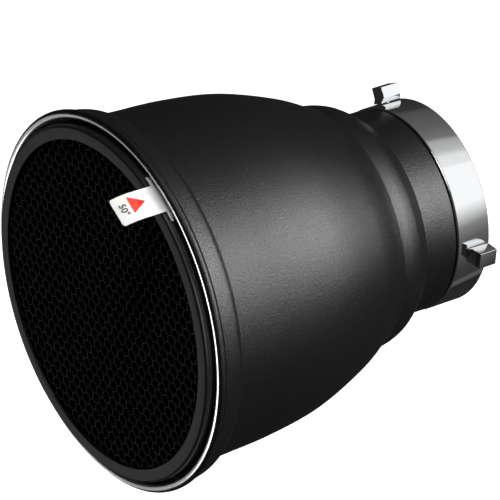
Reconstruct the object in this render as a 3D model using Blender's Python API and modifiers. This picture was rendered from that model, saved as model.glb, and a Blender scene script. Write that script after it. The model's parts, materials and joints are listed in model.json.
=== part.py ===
"""A lamp reflector with a bayonet ring and a pull-out honeycomb grid, as separate solid pieces.

The reflector's axis lies along world Y: the mouth faces -Y and the bayonet end faces +Y.
The origin is the centre of the bayonet ring's rear face. Lengths are in metres.
"""
from math import cos, degrees, pi, radians, sin

import bmesh
import bpy
from mathutils import Matrix, Vector

# Driving dimensions
LENGTH = 0.180             # rim crest to the ring's rear face
SEGMENTS = 48              # facets round every turned piece
GAP = 0.0003               # between pieces that touch
SHEET = 0.0012             # spun aluminium wall

BEAD_RADIUS = 0.002        # rolled bead at the rim
BEAD_CENTRE = 0.0871       # its distance from the axis
NECK_RADIUS = 0.0489
SLEEVE_RADIUS = 0.0470     # the part of the neck inside the bayonet ring
THROAT_RADIUS = 0.0415

RING_RADIUS = 0.04925      # three-lug bayonet ring, 98.5 mm across
RING_WIDTH = 0.018
RING_WALL = 0.00195
RING_FLANGE = 0.0025

LUG_FIRST_ANGLE = -26.0    # degrees from +Z towards +X
LUG_COUNT = 3
LUG_TOP = 0.0572
LUG_SHOULDER = 0.0517
LUG_HEAD_WIDTH = 0.0080
LUG_FOOT_WIDTH = 0.0068
LUG_LENGTH = 0.0097
LUG_FOOT_REACH = 0.0015     # the foot spreads this far towards the mouth
LUG_REAR_INSET = 0.0016
LUG_SCREW_SHIFT = 0.0010    # the screw sits this far forward of the lug's middle

SCREW_SHANK = 0.0015
SCREW_HEAD = 0.0024
SCREW_HEAD_HEIGHT = 0.0012
SCREW_SIDES = 12
LUG_SCREW_TIP = 0.0546     # the screw ends inside the lug's head, this far from the axis
RING_SCREW_CIRCLE = 0.0436
RING_SCREW_SHANK = 0.0010
RING_SCREW_HEAD = 0.0018

GRID_PROUD = 0.0030        # the grid's front stands this far in front of the rim
GRID_RADIUS = 0.0830
GRID_WINDOW = 0.0770       # inner radius of the front flange
GRID_FLANGE = 0.0010
BAND_WALL = 0.0010
BAND_END = 0.0113          # depth of the band's rear edge behind the rim crest
REAR_RING_RADIUS = 0.0846
REAR_RING_WINDOW = 0.0764
REAR_RING_FLANGE = 0.0012
LIP_WALL = 0.0011
LIP_START = 0.0050

CORE_RADIUS = 0.0803
CELL_PITCH = 0.0108        # coarse cells, twice the size of the real foil cells
CELL_WALL = 0.0006
CELL_REACH = 0.0779        # no cell comes closer to the core's edge than this radius

SPRING_ANGLES = (50.0, 170.0, 290.0)
SPRING_THICKNESS = 0.0005
SPRING_WIDTH = 0.0064
SPRING_HALF_ANGLE = 13.0   # degrees either side of its middle
SPRING_FOOT_ANGLE = 4.5    # degrees of flat foot at each end
SPRING_CROWN = 0.0846
RIVET_SPACING = 0.0032
RIVET_SHANK = 0.0008
RIVET_HEAD = 0.0014
RIVET_HEAD_HEIGHT = 0.0004
RIVET_SIDES = 8
RIVET_PLAY = 0.0002
RIVET_BORE_INSET = 0.0040  # the bores start this far inside the band's outer face
RIVET_BORE_REACH = 0.0030  # and end this far outside it

TAB_ANGLE = 30.5
TAB_WIDTH = 0.0139
TAB_HEAD_WIDTH = 0.0240
TAB_REACH = 0.0222         # the tip's distance in front of the rim crest
TAB_THICKNESS = 0.0005
TAB_HEAD_DROP = 0.0006      # the arms bend inwards to follow the rim
TAB_RADIUS = 0.0840
TAB_HINGE_DEPTH = -0.0034   # the hinge line is this far from the rim crest, in front of it
TAB_HEAD_FRONT = -0.0010    # depths between which the arms of the T-head lie
TAB_HEAD_REAR = 0.0018
TAB_STRAIGHT = 0.0079       # the strip runs straight this far from the hinge line
TAB_CURL = 20.0             # degrees that its tip then leans inwards
TAB_RIVET_SHARE = 0.30      # of the strip's width, from its middle to each rivet

LUG_ANGLES = [LUG_FIRST_ANGLE + 360.0 / LUG_COUNT * i for i in range(LUG_COUNT)]
RING_SCREW_ANGLES = [angle + 60.0 for angle in LUG_ANGLES]
LUG_MIDDLE = LENGTH - LUG_REAR_INSET - LUG_LENGTH / 2


def clear_scene():
    for obj in list(bpy.data.objects):
        bpy.data.objects.remove(obj, do_unlink=True)


def new_collection(name):
    collection = bpy.data.collections.new(name)
    bpy.context.scene.collection.children.link(collection)
    return collection


def new_material(name, colour, roughness, metallic):
    material = bpy.data.materials.new(name)
    material.use_nodes = True
    shader = material.node_tree.nodes["Principled BSDF"]
    shader.inputs["Base Color"].default_value = (*colour, 1.0)
    shader.inputs["Roughness"].default_value = roughness
    shader.inputs["Metallic"].default_value = metallic
    material.diffuse_color = (*colour, 1.0)
    return material


def new_empty(name, parent=None, location=(0, 0, 0), rotation=(0, 0, 0)):
    empty = bpy.data.objects.new(name, None)
    empty.parent = parent
    empty.location = location
    empty.rotation_euler = rotation
    parts.objects.link(empty)
    return empty


def add_piece(name, mesh, material, parent):
    mesh.materials.clear()
    mesh.materials.append(material)
    piece = bpy.data.objects.new(name, mesh)
    piece.parent = parent
    parts.objects.link(piece)
    return piece


def add_cutter(name, mesh, parent):
    cutter = bpy.data.objects.new(name, mesh)
    cutter.parent = parent
    cutter.hide_render = True
    cutter.display_type = 'WIRE'
    cutters.objects.link(cutter)
    return cutter


def cut(piece, cutter):
    modifier = piece.modifiers.new(f"cut_{cutter.name}", 'BOOLEAN')
    modifier.object = cutter
    modifier.operation = 'DIFFERENCE'
    modifier.solver = 'EXACT'


def mesh_from(bm, name):
    """Finishes a bmesh as a mesh whose faces point outwards."""
    bmesh.ops.recalc_face_normals(bm, faces=bm.faces)
    mesh = bpy.data.meshes.new(name)
    bm.to_mesh(mesh)
    bm.free()
    return mesh


def arc(centre, radius, start, end, steps):
    """Points (distance from the axis, depth) on an arc between two angles in degrees."""
    points = []
    for i in range(steps + 1):
        angle = radians(start + (end - start) * i / steps)
        points.append((centre[0] + radius * cos(angle), centre[1] + radius * sin(angle)))
    return points


def smooth_curve(points, steps):
    """A Catmull-Rom curve through the points, sampled evenly on each span."""
    ends = [points[0], *points, points[-1]]
    curve = []
    for before, a, b, after in zip(ends, ends[1:], ends[2:], ends[3:]):
        for i in range(steps):
            t = i / steps
            curve.append(tuple(
                0.5 * (2 * a[k] + (b[k] - before[k]) * t
                       + (2 * before[k] - 5 * a[k] + 4 * b[k] - after[k]) * t ** 2
                       + (3 * a[k] - before[k] - 3 * b[k] + after[k]) * t ** 3)
                for k in range(2)))
    curve.append(points[-1])
    return curve


def turned(name, outline, material, parent):
    """Spins a closed outline of (radius, depth) points, given outer side first from rear to front."""
    mesh = bpy.data.meshes.new(name)
    points = [(radius, 0.0, depth) for radius, depth in outline]
    edges = [(i, (i + 1) % len(points)) for i in range(len(points))]
    mesh.from_pydata(points, edges, [])
    piece = add_piece(name, mesh, material, parent)
    screw = piece.modifiers.new("spin", 'SCREW')
    screw.axis = 'Z'
    screw.steps = SEGMENTS
    screw.render_steps = SEGMENTS
    screw.use_merge_vertices = True
    screw.merge_threshold = 0.00001
    screw.use_smooth_shade = True
    return piece


def around(angle, radius=0.0, depth=0.0, turn=0.0):
    """A frame on the axis piece: X points outwards, Y runs round towards larger angles, Z is depth."""
    outward = Vector((sin(radians(angle)), -cos(radians(angle)), 0.0))
    along = Vector((0.0, 0.0, 1.0))
    tangent = along.cross(outward)
    frame = Matrix((outward, tangent, along)).transposed().to_4x4()
    frame.translation = outward * radius + along * depth
    return frame @ Matrix.Rotation(radians(turn), 4, 'X')


def add_cylinder(bm, frame, radius_low, radius_high, start, end, sides):
    """A closed cylinder or cone along the frame's X axis, from start to end."""
    spin = Matrix.Rotation(radians(90.0), 4, 'Y')
    middle = Matrix.Translation(((start + end) / 2, 0.0, 0.0))
    bmesh.ops.create_cone(
        bm, cap_ends=True, segments=sides, radius1=radius_low, radius2=radius_high,
        depth=end - start, matrix=frame @ middle @ spin)


def stepped_pin(name, steps, sides, material, parent):
    """A pin made of turned lengths end to end along X, each given as (radius, start, end)."""
    bm = bmesh.new()
    outline = []
    for radius, start, end in steps:
        outline += [(start, radius), (end, radius)]
    rings = []
    for x, radius in outline:
        ring = []
        for i in range(sides):
            angle = 2 * pi * i / sides
            ring.append(bm.verts.new((x, radius * cos(angle), radius * sin(angle))))
        rings.append(ring)
    for low, high in zip(rings, rings[1:]):
        for i in range(sides):
            j = (i + 1) % sides
            bm.faces.new((low[i], low[j], high[j], high[i]))
    bm.faces.new(rings[0])
    bm.faces.new(rings[-1])
    return add_piece(name, mesh_from(bm, name), material, parent)


def shell_outline():
    """The spun shell's closed outline: outer side from rear to front, then the inner side back."""
    sleeve_end = LENGTH - RING_FLANGE - GAP
    bowl = [(0.0819, 0.0178), (0.0813, 0.0320), (0.0802, 0.0546), (0.0766, 0.0801),
            (0.0682, 0.1055), (0.0611, 0.1196), (0.0592, 0.1238)]
    bowl = smooth_curve(bowl, 3)
    rib = [(0.0591, 0.1256), (0.0588, 0.1285), (0.0581, 0.1315), (0.0571, 0.1345),
           (0.0555, 0.1366), (0.0537, 0.1385), (0.0532, 0.1398), (0.0527, 0.1411),
           (0.0517, 0.1421), (0.0494, 0.1425)]
    neck = [(NECK_RADIUS, 0.1432), (NECK_RADIUS, LENGTH - RING_WIDTH - 3 * GAP),
            (SLEEVE_RADIUS, LENGTH - RING_WIDTH - GAP), (SLEEVE_RADIUS, sleeve_end)]
    outer = bowl + rib + neck
    collar = [(0.0881, 0.0044), (0.0874, 0.0090), (0.0866, 0.0128), (0.0848, 0.0150),
              (0.0824, 0.0163)]
    bead = arc((BEAD_CENTRE, BEAD_RADIUS), BEAD_RADIUS, 60.0, -180.0, 8)
    inner = [(0.0851, 0.0032), (0.0862, 0.0048), (0.0862, 0.0118), (0.0850, 0.0134),
             (0.0815, 0.0148), (0.0807, 0.0178)]
    inner += [(radius - SHEET, depth) for radius, depth in bowl[3:-1:3]]
    inner += [(radius - SHEET, depth - GAP) for radius, depth in rib[1:7:2]]
    inner += [(NECK_RADIUS - SHEET, 0.1428), (NECK_RADIUS - SHEET, LENGTH - RING_WIDTH - 0.0024),
              (SLEEVE_RADIUS - SHEET, LENGTH - RING_WIDTH - 0.0014),
              (SLEEVE_RADIUS - SHEET, sleeve_end - SHEET), (THROAT_RADIUS, sleeve_end - SHEET),
              (THROAT_RADIUS, sleeve_end)]
    return outer[::-1] + collar[::-1] + bead + inner


def build_reflector(parent):
    shell = turned("reflector_shell", shell_outline(), powder_coat, parent)
    ring_front = LENGTH - RING_WIDTH
    bore = RING_RADIUS - RING_WALL
    chamfer = 0.0004
    ring = turned("bayonet_ring", [
        (RING_RADIUS - chamfer, LENGTH), (RING_RADIUS, LENGTH - chamfer),
        (RING_RADIUS, ring_front + chamfer), (RING_RADIUS - chamfer, ring_front),
        (bore, ring_front), (bore, LENGTH - RING_FLANGE),
        (THROAT_RADIUS, LENGTH - RING_FLANGE), (THROAT_RADIUS, LENGTH)], chrome, parent)

    bm = bmesh.new()
    for angle in LUG_ANGLES:
        add_cylinder(bm, around(angle, 0.0, LUG_MIDDLE - LUG_SCREW_SHIFT), SCREW_SHANK + GAP,
                     SCREW_SHANK + GAP, 0.0440, 0.0550, SCREW_SIDES)
    lug_bores = add_cutter("lug_screw_bores", mesh_from(bm, "lug_screw_bores"), parent)
    bm = bmesh.new()
    for angle in RING_SCREW_ANGLES:
        seat = around(angle, RING_SCREW_CIRCLE, LENGTH) @ Matrix.Rotation(radians(-90.0), 4, 'Y')
        add_cylinder(bm, seat, RING_SCREW_SHANK + GAP, RING_SCREW_SHANK + GAP, -0.0060, 0.0010,
                     RIVET_SIDES)
    ring_bores = add_cutter("ring_screw_bores", mesh_from(bm, "ring_screw_bores"), parent)
    for piece in (shell, ring):
        cut(piece, lug_bores)
        cut(piece, ring_bores)

    for number, angle in enumerate(LUG_ANGLES, 1):
        lug = add_piece(f"bayonet_lug_{number}", lug_mesh(), chrome, parent)
        lug.matrix_local = around(angle, 0.0, LUG_MIDDLE)
        cut(lug, lug_bores)
        inside = SLEEVE_RADIUS - SHEET - GAP
        screw = stepped_pin(f"lug_screw_{number}", [
            (SCREW_HEAD, inside - SCREW_HEAD_HEIGHT, inside),
            (SCREW_SHANK, inside, LUG_SCREW_TIP)],
            SCREW_SIDES, zinc, parent)
        screw.matrix_local = around(angle, 0.0, LUG_MIDDLE - LUG_SCREW_SHIFT)
    head_seat = LENGTH - RING_FLANGE - GAP - SHEET - GAP
    for number, angle in enumerate(RING_SCREW_ANGLES, 1):
        screw = stepped_pin(f"ring_screw_{number}", [
            (RING_SCREW_HEAD, -SCREW_HEAD_HEIGHT, 0.0),
            (RING_SCREW_SHANK, 0.0, LENGTH - head_seat - GAP)], RIVET_SIDES, zinc, parent)
        turn = Matrix.Rotation(radians(-90.0), 4, 'Y')
        screw.matrix_local = around(angle, RING_SCREW_CIRCLE, head_seat) @ turn


def lug_mesh():
    """A lug with a foot that widens outwards to a square head; its X axis points outwards."""
    bm = bmesh.new()
    for vert in bmesh.ops.create_cube(bm, size=1.0)["verts"]:
        vert.co.x = LUG_TOP if vert.co.x > 0 else LUG_SHOULDER
        vert.co.y *= LUG_HEAD_WIDTH
        vert.co.z *= LUG_LENGTH
    foot_face = next(face for face in bm.faces if face.normal.x < -0.5)
    grown = bmesh.ops.extrude_face_region(bm, geom=[foot_face])["geom"]
    for vert in (item for item in grown if isinstance(item, bmesh.types.BMVert)):
        vert.co.x = RING_RADIUS + GAP
        vert.co.y *= LUG_FOOT_WIDTH / LUG_HEAD_WIDTH
        if vert.co.z < 0:
            vert.co.z -= LUG_FOOT_REACH
    if foot_face.is_valid:
        bmesh.ops.delete(bm, geom=[foot_face], context='FACES_ONLY')
    return mesh_from(bm, "bayonet_lug")


def honeycomb_cutter(parent):
    """Hexagonal prisms for every cell, trimmed to the window of the grid."""
    bm = bmesh.new()
    row_step = CELL_PITCH * 3 ** 0.5 / 2
    reach = int(GRID_WINDOW / row_step) + 1
    corner = (CELL_PITCH - CELL_WALL) / 3 ** 0.5
    for row in range(-reach, reach + 1):
        for column in range(-reach - 1, reach + 2):
            x = (column + 0.5 * (row % 2)) * CELL_PITCH
            y = row * row_step
            if (x * x + y * y) ** 0.5 + corner > CELL_REACH:
                continue
            bmesh.ops.create_cone(
                bm, cap_ends=True, segments=6, radius1=corner, radius2=corner, depth=0.030,
                matrix=Matrix.Translation((x, y, 0.005)))
    return add_cutter("honeycomb_cells", mesh_from(bm, "honeycomb_cells"), parent)


def spring_mesh():
    """A leaf with a flat foot at each end and a crown between them, bent round the band."""
    bm = bmesh.new()
    foot_radius = GRID_RADIUS + GAP + SPRING_THICKNESS / 2
    rise = SPRING_CROWN - SPRING_THICKNESS / 2 - foot_radius
    bend = SPRING_HALF_ANGLE - SPRING_FOOT_ANGLE
    steps = 14
    rows = []
    for i in range(steps + 1):
        angle = SPRING_HALF_ANGLE * (2 * i / steps - 1)
        share = min(abs(angle) / bend, 1.0)
        radius = foot_radius + rise * (0.5 + 0.5 * cos(pi * share))
        across = (radius * cos(radians(angle)), radius * sin(radians(angle)))
        rows.append([bm.verts.new((*across, side * SPRING_WIDTH / 2)) for side in (-1, 1)])
    for (a, b), (c, d) in zip(rows, rows[1:]):
        bm.faces.new((a, b, d, c))
    return mesh_from(bm, "spring_clip")


def build_grid(parent):
    front = -GRID_PROUD
    frame = turned("grid_front_frame", [
        (GRID_RADIUS, BAND_END), (GRID_RADIUS, front + 0.0005), (GRID_RADIUS - 0.0005, front),
        (GRID_WINDOW, front), (GRID_WINDOW, front + GRID_FLANGE),
        (GRID_RADIUS - BAND_WALL, front + GRID_FLANGE), (GRID_RADIUS - BAND_WALL, BAND_END)],
        satin_black, parent)

    flange_front = BAND_END + GAP
    lip_outer = GRID_RADIUS - BAND_WALL - GAP
    rear_ring = turned("grid_rear_ring", [
        (REAR_RING_RADIUS, flange_front + REAR_RING_FLANGE), (REAR_RING_RADIUS, flange_front),
        (lip_outer, flange_front), (lip_outer, LIP_START), (lip_outer - LIP_WALL, LIP_START),
        (lip_outer - LIP_WALL, flange_front), (REAR_RING_WINDOW, flange_front),
        (REAR_RING_WINDOW, flange_front + REAR_RING_FLANGE)], satin_black, parent)

    core_front = front + GRID_FLANGE + GAP
    core_rear = BAND_END
    bm = bmesh.new()
    bmesh.ops.create_cone(
        bm, cap_ends=True, segments=SEGMENTS, radius1=CORE_RADIUS, radius2=CORE_RADIUS,
        depth=core_rear - core_front,
        matrix=Matrix.Translation((0.0, 0.0, (core_front + core_rear) / 2)))
    core = add_piece("honeycomb_core", mesh_from(bm, "honeycomb_core"), foil_black, parent)
    cut(core, honeycomb_cutter(parent))

    rivet_depth = (LIP_START + BAND_END) / 2
    rivet_angles = [angle - SPRING_HALF_ANGLE + SPRING_FOOT_ANGLE / 2 for angle in SPRING_ANGLES]
    spring_rivets = [(angle, rivet_depth + side * RIVET_SPACING / 2)
                     for angle in rivet_angles for side in (-1, 1)]
    spread = degrees(TAB_WIDTH * TAB_RIVET_SHARE / GRID_RADIUS)
    tab_rivets = [(TAB_ANGLE + side * spread, rivet_depth + 0.0010) for side in (-1, 1)]
    bm = bmesh.new()
    for angle, depth in spring_rivets + tab_rivets:
        add_cylinder(bm, around(angle, 0.0, depth), RIVET_SHANK + RIVET_PLAY, RIVET_SHANK + RIVET_PLAY,
                     GRID_RADIUS - RIVET_BORE_INSET, GRID_RADIUS + RIVET_BORE_REACH, RIVET_SIDES)
    bores = add_cutter("rivet_bores", mesh_from(bm, "rivet_bores"), parent)
    cut(frame, bores)
    cut(rear_ring, bores)

    for number, angle in enumerate(SPRING_ANGLES, 1):
        spring = add_piece(f"spring_clip_{number}", spring_mesh(), spring_steel, parent)
        spring.matrix_local = around(angle, 0.0, rivet_depth)
        wall = spring.modifiers.new("thickness", 'SOLIDIFY')
        wall.thickness = SPRING_THICKNESS
        wall.offset = 0.0
        cut(spring, bores)
    shank_end = lip_outer - LIP_WALL + 0.0001
    head_seat = GRID_RADIUS + 2 * GAP + SPRING_THICKNESS
    for number, (angle, depth) in enumerate(spring_rivets, 1):
        rivet = stepped_pin(f"spring_rivet_{number}", [
            (RIVET_SHANK, shank_end, head_seat),
            (RIVET_HEAD, head_seat, head_seat + RIVET_HEAD_HEIGHT)], RIVET_SIDES, zinc, parent)
        rivet.matrix_local = around(angle, 0.0, depth)

    foot = add_piece("tab_foot", tab_foot_mesh(), white_film, parent)
    foot.matrix_local = around(TAB_ANGLE)
    wall = foot.modifiers.new("thickness", 'SOLIDIFY')
    wall.thickness = TAB_THICKNESS
    wall.offset = 0.0
    cut(foot, bores)
    head_seat = GRID_RADIUS + 2 * GAP + TAB_THICKNESS
    for number, (angle, depth) in enumerate(tab_rivets, 1):
        rivet = stepped_pin(f"tab_rivet_{number}", [
            (RIVET_SHANK, shank_end, head_seat),
            (RIVET_HEAD, head_seat, head_seat + RIVET_HEAD_HEIGHT)], RIVET_SIDES, zinc, parent)
        rivet.matrix_local = around(angle, 0.0, depth)


def strip_mesh(name, path, stations):
    """A strip along a path of (distance outwards, depth) points, with a half-width at each."""
    bm = bmesh.new()
    rows = []
    for (outward, depth), half_widths in zip(path, stations):
        rows.append([bm.verts.new((outward, across, depth)) for across in half_widths])
    for row, following in zip(rows, rows[1:]):
        for i in range(len(row) - 1):
            bm.faces.new((row[i], row[i + 1], following[i + 1], following[i]))
    return mesh_from(bm, name)


def tab_foot_mesh():
    """The fixed end of the pull tab: flat on the band, then out across the gap to the T-head."""
    half = TAB_WIDTH / 2
    head = TAB_HEAD_WIDTH / 2
    on_band = GRID_RADIUS + GAP + TAB_THICKNESS / 2
    path = [(on_band, BAND_END - GAP), (on_band, 0.0066), (TAB_RADIUS, 0.0046),
            (TAB_RADIUS, TAB_HEAD_REAR), (TAB_RADIUS, TAB_HEAD_FRONT),
            (TAB_RADIUS, TAB_HINGE_DEPTH + GAP)]
    across = (-half, half)
    foot = strip_mesh("tab_foot", path, [across] * len(path))
    bm = bmesh.new()
    bm.from_mesh(foot)
    bm.verts.ensure_lookup_table()
    lower, upper = bm.verts[6:8], bm.verts[8:10]
    for side, sign in enumerate((-1, 1)):
        low = bm.verts.new((TAB_RADIUS - TAB_HEAD_DROP, sign * head, TAB_HEAD_REAR))
        high = bm.verts.new((TAB_RADIUS - TAB_HEAD_DROP, sign * head, TAB_HEAD_FRONT))
        bm.faces.new((lower[side], upper[side], high, low))
    bmesh.ops.recalc_face_normals(bm, faces=bm.faces)
    bm.to_mesh(foot)
    bm.free()
    return foot


def build_tab(hinge):
    """The free strip in front of the rim; its own origin is on the hinge line."""
    half = TAB_WIDTH / 2
    start = 2 * GAP
    reach = TAB_REACH + TAB_HINGE_DEPTH
    curl = radians(TAB_CURL)
    steps = 6
    path = [(0.0, -start), (0.0, -TAB_STRAIGHT)]
    bend_radius = (reach - TAB_STRAIGHT) / sin(curl)
    for i in range(1, steps + 1):
        angle = curl * i / steps
        path.append((-bend_radius * (1 - cos(angle)), -TAB_STRAIGHT - bend_radius * sin(angle)))
    strip = strip_mesh("pull_tab", path, [(-half, half)] * len(path))
    tab = add_piece("pull_tab", strip, white_film, hinge)
    wall = tab.modifiers.new("thickness", 'SOLIDIFY')
    wall.thickness = TAB_THICKNESS
    wall.offset = 0.0


clear_scene()
parts = new_collection("honeycomb_grid_reflector")
cutters = new_collection("cutters")
cutters.hide_render = True

powder_coat = new_material("black_powder_coat", (0.020, 0.020, 0.021), 0.45, 0.0)
satin_black = new_material("satin_black", (0.035, 0.036, 0.036), 0.42, 0.0)
foil_black = new_material("black_foil", (0.015, 0.015, 0.015), 0.50, 0.3)
chrome = new_material("chrome", (0.75, 0.76, 0.77), 0.08, 1.0)
zinc = new_material("zinc_plate", (0.55, 0.55, 0.54), 0.35, 1.0)
spring_steel = new_material("spring_steel", (0.40, 0.41, 0.43), 0.30, 1.0)
white_film = new_material("white_film", (0.88, 0.88, 0.86), 0.40, 0.0)

# Local Z of this empty is depth behind the rim crest, and it points along world +Y.
axis_frame = new_empty("reflector_axis", None, (0.0, -LENGTH, 0.0), (radians(-90.0), 0.0, 0.0))
grid_frame = new_empty("grid_slide_frame", axis_frame)
tab_hinge = new_empty("tab_hinge_frame", grid_frame)
tab_hinge.matrix_local = around(TAB_ANGLE, TAB_RADIUS, TAB_HINGE_DEPTH)

build_reflector(axis_frame)
build_grid(grid_frame)
build_tab(tab_hinge)
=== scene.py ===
"""Looks of a lamp reflector with a bayonet ring and a pull-out honeycomb grid.

The reflector's axis lies along world Y: the mouth faces -Y and the bayonet end faces +Y.
A place is given by an angle round the axis from +Z towards +X, a distance from the axis,
and a depth behind the crest of the rim. Lengths are in metres and angles in degrees.
"""
import json
import logging
import random
from dataclasses import dataclass, field
from enum import Enum
from math import atan2, cos, degrees, hypot, pi, radians, sin, sqrt
from typing import Callable, Sequence

import bmesh
import bpy
from mathutils import Matrix, Vector
from mathutils.geometry import delaunay_2d_cdt


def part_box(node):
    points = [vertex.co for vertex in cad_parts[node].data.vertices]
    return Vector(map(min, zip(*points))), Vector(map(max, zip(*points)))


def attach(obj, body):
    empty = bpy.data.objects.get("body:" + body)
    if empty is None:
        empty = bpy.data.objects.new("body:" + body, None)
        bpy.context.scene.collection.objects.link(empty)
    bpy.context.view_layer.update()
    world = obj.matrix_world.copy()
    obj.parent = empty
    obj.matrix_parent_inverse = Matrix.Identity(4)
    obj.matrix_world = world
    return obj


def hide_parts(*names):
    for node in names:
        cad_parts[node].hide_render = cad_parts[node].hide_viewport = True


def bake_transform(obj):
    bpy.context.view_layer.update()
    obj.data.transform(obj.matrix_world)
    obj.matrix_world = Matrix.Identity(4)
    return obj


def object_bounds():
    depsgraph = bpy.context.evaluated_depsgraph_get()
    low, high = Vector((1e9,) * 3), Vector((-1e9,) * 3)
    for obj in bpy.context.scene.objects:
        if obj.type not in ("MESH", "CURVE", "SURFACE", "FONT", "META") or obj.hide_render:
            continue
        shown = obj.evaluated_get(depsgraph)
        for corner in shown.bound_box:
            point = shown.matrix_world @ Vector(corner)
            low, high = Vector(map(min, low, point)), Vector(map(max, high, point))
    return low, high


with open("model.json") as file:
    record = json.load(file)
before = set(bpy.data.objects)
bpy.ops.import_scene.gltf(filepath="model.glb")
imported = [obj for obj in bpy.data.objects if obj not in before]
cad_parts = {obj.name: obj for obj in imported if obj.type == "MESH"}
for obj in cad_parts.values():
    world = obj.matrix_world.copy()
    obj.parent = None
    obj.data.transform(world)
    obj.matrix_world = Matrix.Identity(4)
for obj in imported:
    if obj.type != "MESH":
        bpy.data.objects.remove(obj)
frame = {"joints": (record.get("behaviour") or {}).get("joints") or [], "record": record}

CAD_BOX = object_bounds()
LOG = logging.getLogger("reflector")
Point = tuple[float, float]        # distance from the axis, depth behind the rim crest
ROUND_STEPS = 240                  # facets round the large turned pieces
CRISP = 35.0                       # an edge that turns by more degrees than this stays crisp
GAP = 0.0003                       # clearance between pieces that touch


class Body(Enum):
    """The bodies that pieces ride on."""

    REFLECTOR = "reflector"
    GRID = "grid"
    TAB = "tab"


class Slot(Enum):
    """The record's material slots."""

    POWDER_COAT = "powder_coat"
    SATIN_BLACK = "satin_black"
    BLACK_FOIL = "black_foil"
    CHROME = "chrome"
    ZINC = "zinc"
    SPRING_STEEL = "spring_steel"
    WHITE_FILM = "white_film"


class Lit(Enum):
    """Which pieces a lamp lights."""

    ALL = "all"
    NOT_CHROME = "all but the chrome"
    CHROME = "the chrome"
    SHELL = "the shell"


# --------------------------------------------------------------------------- places

@dataclass(frozen=True)
class Axis:
    """The reflector's axis, on which every piece is placed."""

    crest_y: float

    def point(self, angle: float, radius: float, depth: float) -> Vector:
        """Gives the world place of an angle, a radius and a depth."""
        turn = radians(angle)
        return Vector((radius * sin(turn), self.crest_y + depth, radius * cos(turn)))

    def seat(self, angle: float, radius: float = 0.0, depth: float = 0.0) -> Matrix:
        """Gives a local frame at a place on or off the axis.

        Args:
            angle: Where round the axis, in degrees.
            radius: Distance of the frame's origin from the axis.
            depth: Depth of the frame's origin behind the rim crest.

        Returns:
            A matrix whose X points outwards, Y runs round and Z is depth.
        """
        turn = radians(angle)
        outward = Vector((sin(turn), 0.0, cos(turn)))
        around = Vector((cos(turn), 0.0, -sin(turn)))
        matrix = Matrix((outward, around, Vector((0.0, 1.0, 0.0)))).transposed().to_4x4()
        matrix.translation = self.point(angle, radius, depth)
        return matrix


def angle_of(place: Sequence[float]) -> float:
    """Gives the angle round the axis of a world place, in degrees."""
    return degrees(atan2(place[0], place[2]))


# --------------------------------------------------------------------------- outlines

def arc(centre: Point, radius: float, start: float, end: float, steps: int) -> list[Point]:
    """Makes an arc in an outline.

    Args:
        centre: The arc's centre.
        radius: Its radius.
        start: First angle; 0 points away from the axis and 90 to the rear.
        end: Last angle.
        steps: How many straight runs stand for it.

    Returns:
        The points from start to end.
    """
    turns = [radians(start + (end - start) * i / steps) for i in range(steps + 1)]
    return [(centre[0] + radius * cos(t), centre[1] + radius * sin(t)) for t in turns]


def flowing(points: Sequence[Point], steps: int) -> list[Point]:
    """Draws a smooth curve through points (Catmull-Rom).

    Args:
        points: What the curve passes through.
        steps: Straight runs between two of them.

    Returns:
        The points along the curve.
    """
    ends = [points[0], *points, points[-1]]
    curve = []
    for before, a, b, after in zip(ends, ends[1:], ends[2:], ends[3:]):
        for i in range(steps):
            t = i / steps
            curve.append(tuple(
                0.5 * (2 * a[k] + (b[k] - before[k]) * t
                       + (2 * before[k] - 5 * a[k] + 4 * b[k] - after[k]) * t ** 2
                       + (3 * a[k] - before[k] - 3 * b[k] + after[k]) * t ** 3)
                for k in (0, 1)))
    return [*curve, points[-1]]


def eased(corners: Sequence[tuple[float, float, float]], steps: int = 4) -> list[Point]:
    """Rounds the corners of a closed outline.

    Args:
        corners: Radius, depth and how far the rounding runs along each side.
        steps: Straight runs in each rounding.

    Returns:
        The closed outline's points.
    """
    outline: list[Point] = []
    for i, (radius, depth, size) in enumerate(corners):
        here = Vector((radius, depth))
        if size <= 0.0:
            outline.append((radius, depth))
            continue
        back = (Vector(corners[i - 1][:2]) - here).normalized() * size
        on = (Vector(corners[(i + 1) % len(corners)][:2]) - here).normalized() * size
        for step in range(steps + 1):
            t = step / steps
            outline.append(tuple(here + back * (1 - t) ** 2 + on * t ** 2))
    return outline


def set_in(outline: Sequence[Point], wall: float) -> list[Point]:
    """Moves an open outline towards the axis, square to itself.

    Args:
        outline: The points from the front to the rear.
        wall: How far it moves.

    Returns:
        As many points, moved.
    """
    inner = []
    for i, here in enumerate(outline):
        before = Vector(outline[max(i - 1, 0)])
        after = Vector(outline[min(i + 1, len(outline) - 1)])
        run = (after - before).normalized()
        inner.append((here[0] - run.y * wall, here[1] + run.x * wall))
    return inner


# --------------------------------------------------------------------------- meshes

def mesh_of(bm: bmesh.types.BMesh, name: str, sharp: float = CRISP) -> bpy.types.Mesh:
    """Finishes a bmesh as a smooth-shaded mesh with its faces pointing out.

    Args:
        bm: The shape; it is freed.
        name: The mesh's name.
        sharp: Edges that turn by more than this many degrees stay crisp.

    Returns:
        The mesh.
    """
    bmesh.ops.remove_doubles(bm, verts=bm.verts, dist=1e-7)
    bmesh.ops.recalc_face_normals(bm, faces=bm.faces)
    mesh = bpy.data.meshes.new(name)
    bm.to_mesh(mesh)
    bm.free()
    mesh.shade_smooth()
    mesh.set_sharp_from_angle(angle=radians(sharp))
    return mesh


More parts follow.
